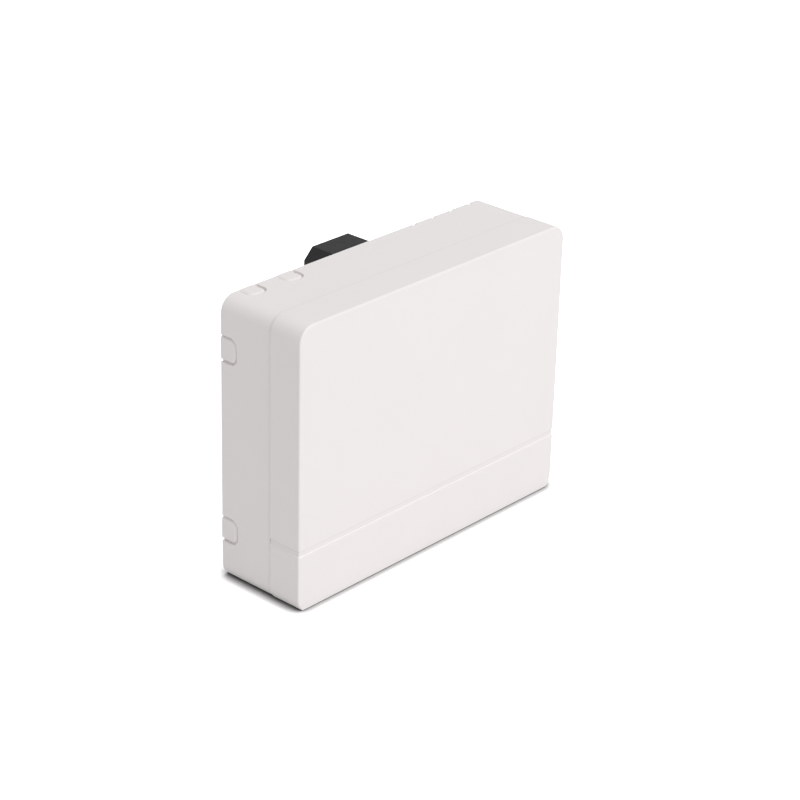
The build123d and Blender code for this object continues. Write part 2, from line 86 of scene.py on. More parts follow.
# Painted shade on the base backwards from its seam, as (share of the shaded strip's width, factor)
SEAM_PAINTED_SHADE = ((0.0, 0.96), (0.5, 0.97), (1.0, 1.0))

# Middle range of a noise, which is stretched to the full range of a tone
NOISE_LOW = 0.3
NOISE_HIGH = 0.7

# Moulded plastic: width of its flow marks and of its waves in metres, height of the waves and width
# of the gloss patches as shares of the grain's, and how far the roughness strays
FLOW_WIDTH = 0.03
WAVE_WIDTH = 0.02
WAVE_HEIGHT = 1.5
PATCH_WIDTH = 6.0
PLASTIC_STRAY = 0.04

# Worked steel: width of its stains in metres and their tone, height of its marks as a share of
# their width, and how far the roughness strays
STAIN_WIDTH = 0.0015
STAIN_TONE = 0.86
MARK_HEIGHT = 0.05
STEEL_STRAY = 0.08

# Edges, in degrees: largest angles that smooth shading runs across, and smallest one that is
# rounded. In metres: how close points are welded, and the radius of the rounding
SMOOTH_ANGLE = 32.0
SCREW_SMOOTH_ANGLE = 40.0
SHARP_ANGLE = 40.0
WELD_DISTANCE = 1e-6
ADAPTER_EDGE = 0.00015
INNER_EDGE = 0.00018

# Screws, as (head radius, head height, shank radius) in metres
SMALL_SCREW = (0.0021, 0.0015, 0.0011)
LARGE_SCREW = (0.0028, 0.0019, 0.00145)

# Outline of a screw's head, as shares of its radius or of its height
SEAT_RADIUS = 0.97
CHAMFER_TOP = 0.12
UPRIGHT_TOP = 0.34
SHOULDER_RADIUS = 0.62
FLAT_RADIUS = 0.45
DOME_STEPS = 7

# Shank of a screw: length of its tip as a share of the shank's radius, radius at the end as a share
# of the core's, and how steeply a ridge of the thread falls
TIP_LENGTH = 1.6
TIP_RADIUS = 0.25
RIDGE_FALL = 3.2

# Cutter of the cross recess: half length and width of its arms as shares of the head's radius, and
# the factors on them at its foot and its top
CROSS_REACH = 1.1
CROSS_BLADE = 0.3
FOOT_REACH = 0.75
FOOT_BLADE = 0.7
TOP_REACH = 2.0

# Turn of the cross in the first screw of a pair, and from there to the second, in degrees
FIRST_TURN = 25.0
NEXT_TURN = 50.0

# Studio: the floor's half width and colour, the softboxes' way from the box, distance and width,
# and the camera's sensor in millimetres and farthest view in metres
FLOOR_HALF = 6.0
FLOOR_PAINT = (0.8, 0.8, 0.8, 1.0)
KEY_WAY = (0.01, -0.375, 0.281)
FILL_WAY = (0.0, 0.06, 0.1)
LAMP_DISTANCE = 4.0
LAMP_SIZE = 2.4
SENSOR_WIDTH = 36.0
VIEW_END = 50.0


# Values a user would change

class HousingFinish(bpy.types.PropertyGroup):
    """The satin white of the housing."""

    colour: FloatVectorProperty(
        name="Colour", description="White of the housing's moulding", subtype="COLOR", size=3,
        min=0.0, max=1.0, default=(0.84, 0.803, 0.799))
    roughness: FloatProperty(
        name="Roughness", description="Mean roughness of the moulded surface", default=0.48,
        min=0.0, max=1.0, subtype="FACTOR")
    grain_size: FloatProperty(
        name="Grain size", description="Width of one grain of the mould's texture", default=0.00032,
        unit="LENGTH")
    grain_depth: FloatProperty(
        name="Grain depth", description="Height of the mould's texture", default=0.000012,
        unit="LENGTH", precision=6)
    edge_round: FloatProperty(
        name="Edge round", description="Radius on the main cover's sharp edges", default=0.0002,
        unit="LENGTH", precision=5)
    # Reach and strength of the painted shade in the main cover's narrow gaps
    crevice_reach: FloatProperty(
        name="Crevice reach", description="How far the shade spreads out of a narrow gap",
        default=0.0004, unit="LENGTH", precision=5)
    crevice_shade: FloatProperty(
        name="Crevice shade", description="How much darker a narrow gap looks", default=0.35,
        min=0.0, max=1.0, subtype="FACTOR")
    # Strength of the painted highlight on the rounded edges
    edge_highlight_strength: FloatProperty(
        name="Edge light", description="How much lighter the rounded edges look", default=0.05,
        min=0.0, max=1.0, subtype="FACTOR")
    # Width of the painted shade along the base's seam
    seam_shade_width: FloatProperty(
        name="Seam width", description="Width of the darker strip along the base's seam",
        default=0.001, unit="LENGTH", precision=4)
    # Heights that place the painted highlight on the lower cover's slope and the painted shade on its rim
    rim_step: FloatProperty(
        name="Rim step", description="Height of the slope under the lower cover's rim",
        default=0.0003, unit="LENGTH", precision=5)
    rim_height: FloatProperty(
        name="Rim height", description="Height of the lower cover's rim with its slope",
        default=0.0022, unit="LENGTH", precision=5)


class ClipFinish(bpy.types.PropertyGroup):
    """The black of the rail clip."""

    colour: FloatVectorProperty(
        name="Colour", description="Black of the clip's moulding", subtype="COLOR", size=3,
        min=0.0, max=1.0, default=(0.0155, 0.0152, 0.0163))
    roughness: FloatProperty(
        name="Roughness", description="Mean roughness of the clip", default=0.6,
        min=0.0, max=1.0, subtype="FACTOR")
    edge_round: FloatProperty(
        name="Edge round", description="Radius on the clip's edges", default=0.00035, unit="LENGTH",
        precision=5)


class SpringShape(bpy.types.PropertyGroup):
    """The coil spring that holds the latch down."""

    wire: FloatProperty(
        name="Wire", description="Diameter of the wire", default=0.00045, unit="LENGTH", precision=5)
    turns: FloatProperty(
        name="Turns", description="Working turns between the closed ends", default=6.0)
    steps: IntProperty(
        name="Steps", description="Points on each turn", default=28)


class ScrewShape(bpy.types.PropertyGroup):
    """Thread and drive of the small screws."""

    pitch: FloatProperty(
        name="Pitch", description="Distance between two threads", default=0.0009, unit="LENGTH",
        precision=5)
    thread_depth: FloatProperty(
        name="Thread depth", description="Height of the thread over its core", default=0.00028,
        unit="LENGTH", precision=5)
    recess_depth: FloatProperty(
        name="Recess depth", description="Depth of the cross in the head", default=0.0009,
        unit="LENGTH", precision=5)


class StudioValues(bpy.types.PropertyGroup):
    """The camera's place round the housing, and the light."""

    azimuth: FloatProperty(
        name="Azimuth", description="Camera's turn from the front, positive to the right",
        subtype="ANGLE", default=math.radians(-47.98))
    elevation: FloatProperty(
        name="Elevation", description="Camera's height over the horizon", subtype="ANGLE",
        default=math.radians(25.561))
    roll: FloatProperty(
        name="Roll", description="Camera's roll", subtype="ANGLE", default=math.radians(1.507))
    aim_height: FloatProperty(
        name="Aim height", description="Height of the point that the camera is turned round",
        default=0.049, unit="LENGTH")
    distance: FloatProperty(
        name="Distance", description="Camera's distance from that point on the rear face",
        default=0.814649, unit="LENGTH")
    aside: FloatProperty(
        name="Aside", description="Camera's step to its right", default=0.014308, unit="LENGTH")
    lift: FloatProperty(
        name="Lift", description="Camera's step upwards", default=-0.006373, unit="LENGTH")
    lens: FloatProperty(
        name="Lens", description="Focal length on a 36 mm sensor", default=109.954,
        subtype="DISTANCE_CAMERA")
    ambient: FloatProperty(
        name="Ambient", description="Strength of the light from all round", default=0.565)
    ambient_colour: FloatVectorProperty(
        name="Ambient colour", description="Tint of the light from all round", subtype="COLOR",
        size=3, min=0.0, max=1.0, default=(1.0, 1.0, 1.0))
    key: FloatProperty(
        name="Key", description="Power of the softbox in front", default=74.0,
        subtype="POWER")
    key_colour: FloatVectorProperty(
        name="Key colour", description="Tint of the softbox in front", subtype="COLOR",
        size=3, min=0.0, max=1.0, default=(1.0, 1.0, 1.0))
    fill: FloatProperty(
        name="Fill", description="Power of the softbox behind the box", default=18.4,
        subtype="POWER")
    # Reach and power of the painted contact shade on the floor
    shade_reach: FloatProperty(
        name="Shade reach", description="How far the box's contact shade spreads on the floor",
        default=0.005, unit="LENGTH", precision=4)
    shade_depth: FloatProperty(
        name="Shade depth", description="Strength of the contact shade", default=2.0, min=0.0)


# Material building

def new_material(name):
    """A node material with its shader, and a texture coordinate in the frame's metres."""
    material = bpy.data.materials.new(name)
    material.use_nodes = True
    nodes = material.node_tree.nodes
    shader = nodes["Principled BSDF"]
    place = nodes.new("ShaderNodeTexCoord")
    place.location = (-1300, 0)
    return material, shader, place.outputs["Object"]


def noise(material, place, size, detail=2.0, roughness=0.5):
    """Noise whose lumps are this many metres wide."""
    node = material.node_tree.nodes.new("ShaderNodeTexNoise")
    node.inputs["Scale"].default_value = 1.0 / size
    node.inputs["Detail"].default_value = detail
    node.inputs["Roughness"].default_value = roughness
    material.node_tree.links.new(place, node.inputs["Vector"])
    return node.outputs["Fac"]


def spread(material, source, low, high):
    """The source's middle range stretched to run from low to high."""
    node = material.node_tree.nodes.new("ShaderNodeMapRange")
    node.inputs["From Min"].default_value = NOISE_LOW
    node.inputs["From Max"].default_value = NOISE_HIGH
    node.inputs["To Min"].default_value = low
    node.inputs["To Max"].default_value = high
    material.node_tree.links.new(source, node.inputs["Value"])
    return node.outputs["Result"]


def two_tone(material, source, first, second):
    """A colour between first and second by the source."""
    node = material.node_tree.nodes.new("ShaderNodeMix")
    node.data_type = "RGBA"
    node.inputs["A"].default_value = (*first, 1.0)
    node.inputs["B"].default_value = (*second, 1.0)
    material.node_tree.links.new(source, node.inputs["Factor"])
    return node.outputs["Result"]


def bump(material, source, depth, under=None):
    """A bump of this many metres, laid over another if one is given."""
    node = material.node_tree.nodes.new("ShaderNodeBump")
    node.inputs["Distance"].default_value = depth
    material.node_tree.links.new(source, node.inputs["Height"])
    if under is not None:
        material.node_tree.links.new(under, node.inputs["Normal"])
    return node.outputs["Normal"]


def moulded_plastic(name, colour, roughness, grain_size, grain_depth, variation=0.012, specular=0.4):
    """Spark-textured moulded plastic with faint flow marks in its colour and gloss."""
    material, shader, place = new_material(name)
    link = material.node_tree.links.new
    flow = spread(material, noise(material, place, FLOW_WIDTH, detail=3.0), 0.0, 1.0)
    darker = tuple(c * (1.0 - variation) for c in colour)
    link(two_tone(material, flow, colour, darker), shader.inputs["Base Color"])
    patches = noise(material, place, grain_size * PATCH_WIDTH, detail=3.0)
    gloss = spread(material, patches, roughness - PLASTIC_STRAY, roughness + PLASTIC_STRAY)
    link(gloss, shader.inputs["Roughness"])
    waves = noise(material, place, WAVE_WIDTH, detail=1.0)
    waviness = bump(material, waves, grain_depth * WAVE_HEIGHT)
    grains = noise(material, place, grain_size, detail=2.0, roughness=0.6)
    grain = bump(material, grains, grain_depth, waviness)
    link(grain, shader.inputs["Normal"])
    shader.inputs["Specular IOR Level"].default_value = specular
    return material


def calculate(material, operation, *values):
    """The result of one maths operation on sockets and numbers."""
    node = material.node_tree.nodes.new("ShaderNodeMath")
    node.operation = operation
    for socket, value in zip(node.inputs, values):
        if isinstance(value, bpy.types.NodeSocket):
            material.node_tree.links.new(value, socket)
        else:
            socket.default_value = value
    return node.outputs["Value"]


def multiply_colour(material, factor):
    """Scales the material's colour by a socket."""
    tree = material.node_tree
    colour = tree.nodes["Principled BSDF"].inputs["Base Color"]
    mix = tree.nodes.new("ShaderNodeMix")
    mix.data_type = "RGBA"
    mix.blend_type = "MULTIPLY"
    mix.inputs["Factor"].default_value = 1.0
    tree.links.new(colour.links[0].from_socket, mix.inputs["A"])
    tree.links.new(factor, mix.inputs["B"])
    tree.links.new(mix.outputs["Result"], colour)


def paint_edge_highlights(material, share):
    """Painted highlight: lightens the colour on the rounded edges round the front, by their normals, by up
    to this share.
    """
    nodes = material.node_tree.nodes
    facing = nodes.new("ShaderNodeSeparateXYZ")
    material.node_tree.links.new(nodes.new("ShaderNodeNewGeometry").outputs["Normal"],
                                 facing.inputs["Vector"])
    x, y, z = facing.outputs
    upright = calculate(material, "ABSOLUTE", calculate(material, "MULTIPLY", x, y))
    level = calculate(material, "ABSOLUTE", calculate(material, "MULTIPLY", y, z))
    edge = calculate(material, "ADD", upright, level)
    # The product of two parts of a direction is a half at most, so it counts double
    multiply_colour(material, calculate(material, "MULTIPLY_ADD", edge, 2.0 * share, 1.0))


def tone_along(material, axis, low, high, stops):
    """Scales the colour between two places on an axis by (share of the way, factor) pairs."""
    tree = material.node_tree
    place = tree.nodes.new("ShaderNodeSeparateXYZ")
    tree.links.new(tree.nodes.new("ShaderNodeTexCoord").outputs["Object"], place.inputs["Vector"])
    way = tree.nodes.new("ShaderNodeMapRange")
    way.inputs["From Min"].default_value = low
    way.inputs["From Max"].default_value = high
    tree.links.new(place.outputs[axis], way.inputs["Value"])
    ramp = tree.nodes.new("ShaderNodeValToRGB")
    tree.links.new(way.outputs["Result"], ramp.inputs["Fac"])
    elements = ramp.color_ramp.elements
    while len(elements) < len(stops):
        elements.new(0.5)
    top = max(factor for _, factor in stops)
    for element, (share, factor) in zip(elements, stops):
        element.position = share
        element.color = (factor / top, factor / top, factor / top, 1.0)
    multiply_colour(material, calculate(material, "MULTIPLY", ramp.outputs["Color"], top))


def paint_crevice_shade(material, reach, share):
    """Painted shade: darkens the material's colour by this share where something stands closer than the
    reach.
    """
    tree = material.node_tree
    colour = tree.nodes["Principled BSDF"].inputs["Base Color"]
    near = tree.nodes.new("ShaderNodeAmbientOcclusion")
    near.inputs["Distance"].default_value = reach
    tree.links.new(colour.links[0].from_socket, near.inputs["Color"])
    mix = tree.nodes.new("ShaderNodeMix")
    mix.data_type = "RGBA"
    mix.inputs["Factor"].default_value = share
    tree.links.new(colour.links[0].from_socket, mix.inputs["A"])
    tree.links.new(near.outputs["Color"], mix.inputs["B"])
    tree.links.new(mix.outputs["Result"], colour)


def worked_metal(name, colour, roughness, grain_size):
    """Plated or drawn steel with fine marks."""
    material, shader, place = new_material(name)
    link = material.node_tree.links.new
    stain = spread(material, noise(material, place, STAIN_WIDTH, detail=4.0), 0.0, 1.0)
    stained = tuple(c * STAIN_TONE for c in colour)
    link(two_tone(material, stain, colour, stained), shader.inputs["Base Color"])
    gloss = noise(material, place, grain_size, detail=3.0)
    link(spread(material, gloss, roughness - STEEL_STRAY, roughness + STEEL_STRAY),
         shader.inputs["Roughness"])
    marks = noise(material, place, grain_size, detail=3.0)
    link(bump(material, marks, grain_size * MARK_HEIGHT), shader.inputs["Normal"])
    shader.inputs["Metallic"].default_value = 1.0
    return material


def dress(obj, material):
    """Gives the object one material."""
    obj.data.materials.clear()
    obj.data.materials.append(material)


def smooth(obj, degrees=SMOOTH_ANGLE):
    """Smooth shading across every edge flatter than this."""
    bpy.ops.object.select_all(action="DESELECT")
    obj.select_set(True)
    bpy.context.view_layer.objects.active = obj
    bpy.ops.object.shade_smooth_by_angle(angle=math.radians(degrees))
    obj.select_set(False)


def ease_edges(obj, radius, segments=3):
    """Welds the faces together and rounds the sharp edges, as modifiers."""
    weld = obj.modifiers.new("weld", "WELD")
    weld.merge_threshold = WELD_DISTANCE
    bevel = obj.modifiers.new("edge_round", "BEVEL")
    bevel.width = radius
    bevel.segments = segments
    bevel.limit_method = "ANGLE"
    bevel.angle_limit = math.radians(SHARP_ANGLE)
    bevel.harden_normals = True


def new_piece(name, mesh, body, *replaced):
    """Links a mesh as a piece that rides on a body and stands for CAD nodes."""
    piece = bpy.data.objects.new(name, mesh)
    bpy.context.scene.collection.objects.link(piece)
    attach(piece, body)
    if replaced:
        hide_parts(*replaced)
    return piece


# Spring

def coil_points(settings, low, high, centre, radius):
    """The spring's centre line from its lower to its upper closed end."""
    closed = 1.25
    full = closed * 2.0 + settings.turns
    rise = high - low
    lead = settings.wire * closed
    points = []
    count = int(full * settings.steps)
    for index in range(count + 1):
        turn = full * index / count
        if turn < closed:
            level = lead * turn / closed
        elif turn > full - closed:
            level = rise - lead * (full - turn) / closed
        else:
            share = (turn - closed) / settings.turns
            level = lead + (rise - 2.0 * lead) * share
        angle = 2.0 * math.pi * turn
        points.append(Vector((centre.x + radius * math.cos(angle),
                              centre.y + radius * math.sin(angle), low + level)))
    return points


def tube_mesh(name, points, radius, sides=10):
    """A round wire along the points, closed at both ends."""
    mesh = bpy.data.meshes.new(name)
    bm = bmesh.new()
    rings = []
    for index, point in enumerate(points):
        before = points[max(index - 1, 0)]
        after = points[min(index + 1, len(points) - 1)]
        along = (after - before).normalized()
        across = along.cross(Vector((0.0, 0.0, 1.0))).normalized()
        up = across.cross(along)
        ring = []
        for side in range(sides):
            angle = 2.0 * math.pi * side / sides
            ring.append(bm.verts.new(point + radius * (math.cos(angle) * across + math.sin(angle) * up)))
        rings.append(ring)
    for first, second in zip(rings, rings[1:]):
        for side in range(sides):
            other = (side + 1) % sides
            bm.faces.new((first[side], first[other], second[other], second[side]))
    bm.faces.new(rings[0][::-1])
    bm.faces.new(rings[-1])
    bmesh.ops.recalc_face_normals(bm, faces=bm.faces)
    bm.to_mesh(mesh)
    bm.free()
    return mesh


# Screws

def lathe(bm, profile, sides, ridge=None):
    """Turns (radius, height) pairs about local Z. ridge(index, angle) is added to the radius."""
    rings = []
    for index, (radius, level) in enumerate(profile):
        ring = []
        for side in range(sides):
            angle = 2.0 * math.pi * side / sides
            reach = radius if ridge is None else radius + ridge(index, angle)
            ring.append(bm.verts.new((reach * math.cos(angle), reach * math.sin(angle), level)))
        rings.append(ring)
    for first, second in zip(rings, rings[1:]):
        for side in range(sides):
            other = (side + 1) % sides
            bm.faces.new((first[side], first[other], second[other], second[side]))
    bm.faces.new(rings[0][::-1])
    bm.faces.new(rings[-1])


def screw_mesh(name, settings, head_radius, head, shank_radius, length):
    """A round-headed tapping screw, its head's seat at local Z = 0 and its tip below."""
    sides = 32
    steps = 8
    core = shank_radius - settings.thread_depth
    rings = int(length / settings.pitch * steps)
    taper = shank_radius * TIP_LENGTH

    def thread(index, angle):
        level = length * index / rings
        phase = (level / settings.pitch + angle / (2.0 * math.pi)) % 1.0
        share = max(0.0, 1.0 - abs(phase - 0.5) * RIDGE_FALL)
        return settings.thread_depth * share * min(1.0, level / taper)

    bm = bmesh.new()
    shank = []
    for index in range(rings + 1):
        level = length * index / rings
        share = min(1.0, TIP_RADIUS + (1.0 - TIP_RADIUS) * level / taper)
        shank.append((core * share, level - length))
    lathe(bm, shank, sides, thread)
    dome = [(head_radius * SEAT_RADIUS, 0.0), (head_radius, head * CHAMFER_TOP),
            (head_radius, head * UPRIGHT_TOP)]
    for index in range(1, DOME_STEPS):
        angle = math.radians(90.0 * index / DOME_STEPS)
        radius = SHOULDER_RADIUS + (1.0 - SHOULDER_RADIUS) * math.cos(angle)
        level = UPRIGHT_TOP + (1.0 - UPRIGHT_TOP) * math.sin(angle)
        dome.append((head_radius * radius, head * level))
    dome.append((head_radius * FLAT_RADIUS, head))
    lathe(bm, dome, sides)
    bmesh.ops.recalc_face_normals(bm, faces=bm.faces)
    mesh = bpy.data.meshes.new(name)
    bm.to_mesh(mesh)
    bm.free()
    return mesh


def cross_cutter(name, reach, blade, depth, top):
    """A tapered cross, standing on the head's top, for cutting the drive recess."""
    bm = bmesh.new()
    for turn in (0.0, 90.0):
        made = bmesh.ops.create_cube(bm, size=1.0)
        for vert in made["verts"]:
            deep = vert.co.z < 0.0
            vert.co.x *= reach * (FOOT_REACH if deep else TOP_REACH)
            vert.co.y *= blade * (FOOT_BLADE if deep else 1.0)
            vert.co.z = top - depth if deep else top + depth
            vert.co.rotate(Matrix.Rotation(math.radians(turn), 3, "Z"))
    mesh = bpy.data.meshes.new(name)
    bm.to_mesh(mesh)
    bm.free()
    return mesh


def cut_recess(mesh, settings, head_radius, head):
    """The screw's mesh with the drive recess cut into its head."""
    screw = bpy.data.objects.new("screw_blank", mesh)
    cross = cross_cutter("recess_cutter", head_radius * CROSS_REACH, head_radius * CROSS_BLADE,
                         settings.recess_depth, head)
    cutter = bpy.data.objects.new("recess_cutter", cross)
    for obj in (screw, cutter):
        bpy.context.scene.collection.objects.link(obj)
    cut = screw.modifiers.new("recess", "BOOLEAN")
    cut.operation = "DIFFERENCE"
    cut.solver = "EXACT"
    cut.use_self = True
    cut.object = cutter
    graph = bpy.context.evaluated_depsgraph_get()
    done = bpy.data.meshes.new_from_object(screw.evaluated_get(graph))
    for obj in (screw, cutter):
        bpy.data.objects.remove(obj)
    return done


def screw_group(name, node, settings, head_radius, head, shank_radius):
    """Copies of one screw at the two ends of a CAD screw node, heads forwards, as one piece."""
    low = low_corner(node)
    high = high_corner(node)
    seat = low.y + head
    length = high.y - seat
    blank = screw_mesh(name + "_blank", settings, head_radius, head, shank_radius, length)
    screw = cut_recess(blank, settings, head_radius, head)
    along_x = high.x - low.x > high.z - low.z
    spots = []
    for end in (0.0, 1.0):
        if along_x:
            x = low.x + head_radius + end * (high.x - low.x - 2.0 * head_radius)
            spots.append(Vector((x, seat, (low.z + high.z) / 2.0)))
        else:
            z = low.z + head_radius + end * (high.z - low.z - 2.0 * head_radius)
            spots.append(Vector(((low.x + high.x) / 2.0, seat, z)))
    bm = bmesh.new()
    for index, spot in enumerate(spots):
        part = screw.copy()
        turn = Matrix.Rotation(math.radians(FIRST_TURN + NEXT_TURN * index), 4, "Z")
        part.transform(Matrix.Translation(spot) @ Matrix.Rotation(math.radians(90.0), 4, "X") @ turn)
        bm.from_mesh(part)
    mesh = bpy.data.meshes.new(name)
    bm.to_mesh(mesh)
    bm.free()
    return new_piece(name, mesh, HOUSING, node)


# Operators

class FIBREBOX_OT_housing(bpy.types.Operator):
    """Finish the base and the two covers in satin white"""

    bl_idname = "fibrebox.housing"
    bl_label = "Finish housing"

    def execute(self, context):
        values = context.scene.fibrebox_housing
        for node in ("base_shell", "main_cover", "lower_cover"):
            white = moulded_plastic(f"housing_white_{node}", tuple(values.colour), values.roughness,
                                    values.grain_size, values.grain_depth)
            # Painted highlight on the rounded edges round the front
            paint_edge_highlights(white, values.edge_highlight_strength)
            # Painted shade in the main cover's narrow gaps, from ambient occlusion
            if node == "main_cover":
                paint_crevice_shade(white, values.crevice_reach, values.crevice_shade)
            # Painted highlight on the slope under the lower cover's rim, and painted shade on the rim
            # under the main cover's edge
            if node == "lower_cover":
                rim_top = high_corner(node).z
                slope = values.rim_step / values.rim_height
                tone_along(white, "Z", rim_top - values.rim_height, rim_top, (
                    (0.0, 1.0), (TONE_STEP, SLOPE_PAINTED_HIGHLIGHT), (slope, SLOPE_PAINTED_HIGHLIGHT),
                    (slope + TONE_STEP, RIM_LOW_PAINTED_SHADE), *RIM_PAINTED_SHADE))
            # Painted shade on the base just behind its seam with the covers
            if node == "base_shell":
                seam = low_corner(node).y
                tone_along(white, "Y", seam, seam + values.seam_shade_width, SEAM_PAINTED_SHADE)
            dress(NODES[node], white)
        for node in ("base_shell", "lower_cover"):
            smooth(NODES[node])
        ease_edges(NODES["main_cover"], values.edge_round)
        return {"FINISHED"}


class FIBREBOX_OT_clip(bpy.types.Operator):
    """Finish the rail clip and its latch in satin black, with eased edges"""

    bl_idname = "fibrebox.clip"
    bl_label = "Finish rail clip"

    def execute(self, context):
        values = context.scene.fibrebox_clip
        black = moulded_plastic("clip_black", tuple(values.colour), values.roughness,
                                grain_size=0.0004, grain_depth=0.00002, variation=0.08, specular=0.2)
        for node in ("din_clip", "din_latch"):
            dress(NODES[node], black)
            ease_edges(NODES[node], values.edge_round)
        return {"FINISHED"}


class FIBREBOX_OT_spring(bpy.types.Operator):
    """Wind the latch's coil spring"""

    bl_idname = "fibrebox.spring"
    bl_label = "Wind latch spring"

    def execute(self, context):
        values = context.scene.fibrebox_spring
        low = low_corner("latch_spring")
        high = high_corner("latch_spring")
        centre = (low + high) / 2.0
        radius = (high.x - low.x) / 2.0 - values.wire / 2.0
        points = coil_points(values, low.z + values.wire / 2.0, high.z - values.wire / 2.0, centre, radius)
        spring = new_piece("spring_coil", tube_mesh("spring_coil", points, values.wire / 2.0), HOUSING,
                           "latch_spring")
        steel = worked_metal("spring_steel", (0.55, 0.55, 0.56), roughness=0.3, grain_size=0.0002)
        dress(spring, steel)
        smooth(spring)
        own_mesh(spring)
        return {"FINISHED"}


class FIBREBOX_OT_screws(bpy.types.Operator):
    """Turn the threaded screws of the clip, the retainer and the cable clamps"""

    bl_idname = "fibrebox.screws"
    bl_label = "Turn screws"

    def execute(self, context):
        values = context.scene.fibrebox_screws
        steel = worked_metal("screw_steel", (0.66, 0.66, 0.63), roughness=0.32, grain_size=0.00025)
        for name, node, sizes in (
            ("clip_fixing_screws", "clip_screws", LARGE_SCREW),
            ("retainer_fixing_screws", "retainer_screws", SMALL_SCREW),
            ("left_clamp_fixing_screws", "clamp_screws_left", SMALL_SCREW),
            ("right_clamp_fixing_screws", "clamp_screws_right", SMALL_SCREW),
        ):
            piece = screw_group(name, node, values, *sizes)
            dress(piece, steel)
            smooth(piece, SCREW_SMOOTH_ANGLE)
        return {"FINISHED"}


class FIBREBOX_OT_adapters(bpy.types.Operator):
    """Finish the fibre adapters, their sleeves and their dust caps"""

    bl_idname = "fibrebox.adapters"
    bl_label = "Finish adapters"

    def execute(self, context):
        green = moulded_plastic("adapter_green", (0.035, 0.3, 0.11), roughness=0.3, grain_size=0.0004,
                                grain_depth=0.000006, variation=0.05, specular=0.5)
        natural = moulded_plastic("holder_natural", (0.8, 0.78, 0.7), roughness=0.4, grain_size=0.0004,
                                  grain_depth=0.000008, variation=0.02)
        ceramic = moulded_plastic("ceramic_white", (0.92, 0.91, 0.87), roughness=0.15,
                                  grain_size=0.0005, grain_depth=0.000002, variation=0.01, specular=0.6)
        soft = moulded_plastic("cap_white", (0.84, 0.85, 0.86), roughness=0.55, grain_size=0.0005,
                               grain_depth=0.00001, variation=0.02, specular=0.35)
        for index in ADAPTERS:
            for node, material, slot in (
                ("sc_adapter", green, "adapter_green"),
                ("sleeve_holder", natural, "holder_natural"),
                ("alignment_sleeve", ceramic, "ceramic_white"),
                ("dust_cap", soft, "cap_white"),
                ("inner_cap", soft, "cap_white"),
            ):
                obj = NODES[f"{node}_{index}"]
                dress(obj, material)
                if node in ("sc_adapter", "dust_cap", "inner_cap"):
                    ease_edges(obj, ADAPTER_EDGE, segments=2)
                else:
                    smooth(obj)
        return {"FINISHED"}


class FIBREBOX_OT_inner_parts(bpy.types.Operator):
    """Finish the splice holder, the retainer and the cable clamps"""

    bl_idname = "fibrebox.inner_parts"
    bl_label = "Finish inner parts"

    def execute(self, context):
        white = moulded_plastic("inner_white", (0.8, 0.8, 0.79), roughness=0.5, grain_size=0.0004,
                                grain_depth=0.00001, variation=0.015)
        for node in ("adapter_retainer", "splice_holder", "cable_clamp_left", "cable_clamp_right"):
            dress(NODES[node], white)
            ease_edges(NODES[node], INNER_EDGE, segments=2)
        return {"FINISHED"}


# Stage

def white_to_camera(tree, seen, unseen):
    """A shader that camera, glossy and transmission rays see as seen, and all others as unseen."""
    path = tree.nodes.new("ShaderNodeLightPath")
    total = path.outputs["Is Camera Ray"]
    for name in ("Is Glossy Ray", "Is Transmission Ray"):
        larger = tree.nodes.new("ShaderNodeMath")
        larger.operation = "MAXIMUM"
        tree.links.new(total, larger.inputs[0])
        tree.links.new(path.outputs[name], larger.inputs[1])
        total = larger.outputs["Value"]
    mix = tree.nodes.new("ShaderNodeMixShader")
    tree.links.new(total, mix.inputs["Fac"])
    tree.links.new(unseen, mix.inputs[1])
    tree.links.new(seen, mix.inputs[2])
    return mix.outputs["Shader"]


def floor_material(reach, depth):
    """White floor: the camera sees its lit colour doubled, so only deep shadow shows, darkened by a
    painted contact shade where the box stands within this reach.
    """
    material = bpy.data.materials.new("studio_floor")
    material.use_nodes = True
    tree = material.node_tree
    tree.nodes.clear()
    paint = tree.nodes.new("ShaderNodeBsdfDiffuse")
    paint.inputs["Color"].default_value = FLOOR_PAINT
    # Painted contact shade: ambient occlusion within the reach, raised to the depth, darkens the colour
    # that the camera sees
    near = tree.nodes.new("ShaderNodeAmbientOcclusion")
    near.inputs["Distance"].default_value = reach
    shade = tree.nodes.new("ShaderNodeMath")
    shade.operation = "POWER"
    shade.inputs[1].default_value = depth
    tree.links.new(near.outputs["AO"], shade.inputs[0])
    first = tree.nodes.new("ShaderNodeBsdfDiffuse")
    second = tree.nodes.new("ShaderNodeBsdfDiffuse")
    for node in (first, second):
        tree.links.new(shade.outputs["Value"], node.inputs["Color"])
    both = tree.nodes.new("ShaderNodeAddShader")
    tree.links.new(first.outputs["BSDF"], both.inputs[0])
    tree.links.new(second.outputs["BSDF"], both.inputs[1])
    output = tree.nodes.new("ShaderNodeOutputMaterial")
    tree.links.new(white_to_camera(tree, both.outputs["Shader"], paint.outputs["BSDF"]),
                   output.inputs["Surface"])
    return material


def studio_world(scene, strength, colour):
    """Even light from all round, white to the camera."""
    world = bpy.data.worlds.new("studio_world")
    world.use_nodes = True
    tree = world.node_tree
    tree.nodes.clear()
    light = tree.nodes.new("ShaderNodeBackground")
    light.inputs["Color"].default_value = (*colour, 1.0)
    light.inputs["Strength"].default_value = strength
    white = tree.nodes.new("ShaderNodeBackground")
    white.inputs["Color"].default_value = (1.0, 1.0, 1.0, 1.0)
    white.inputs["Strength"].default_value = 1.0
    output = tree.nodes.new("ShaderNodeOutputWorld")
    tree.links.new(white_to_camera(tree, white.outputs["Background"], light.outputs["Background"]),
                   output.inputs["Surface"])
    scene.world = world


